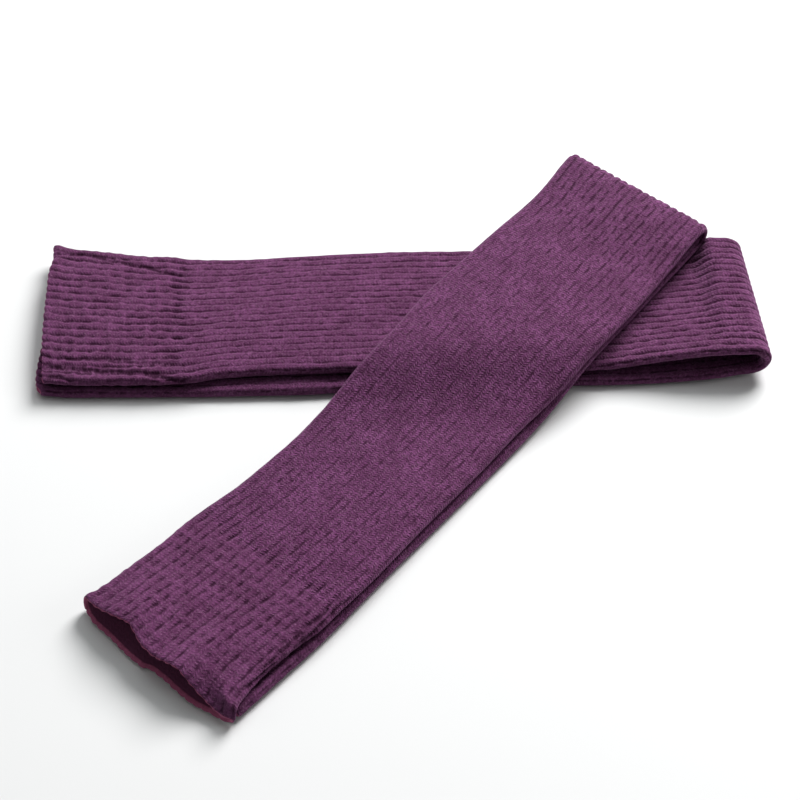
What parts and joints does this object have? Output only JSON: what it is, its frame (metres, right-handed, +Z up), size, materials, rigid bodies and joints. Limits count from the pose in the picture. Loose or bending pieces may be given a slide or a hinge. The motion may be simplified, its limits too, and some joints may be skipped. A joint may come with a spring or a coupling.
{
  "type": "pair of leg warmers",
  "caption": "Ribbed knit leg warmers with waffle cuffs, folded in half, one lying slantwise over the other.",
  "frame": {"origin": "on the surface that the pair lies on, under the middle of its box", "axes": "+Z up; +X along the under leg warmer, from its cuffs to its fold; +Y to the far side"},
  "size_m": [0.3818, 0.348, 0.0306],
  "materials": {
    "rib_knit": "matte",
    "waffle_knit": "matte"
  },
  "bodies": {
    "root": {"under_cuff_lower": "waffle_knit", "under_tube": "rib_knit", "under_cuff_upper": "waffle_knit", "over_cuff_lower": "waffle_knit", "over_tube": "rib_knit", "over_cuff_upper": "waffle_knit"}
  },
  "joints": []
}
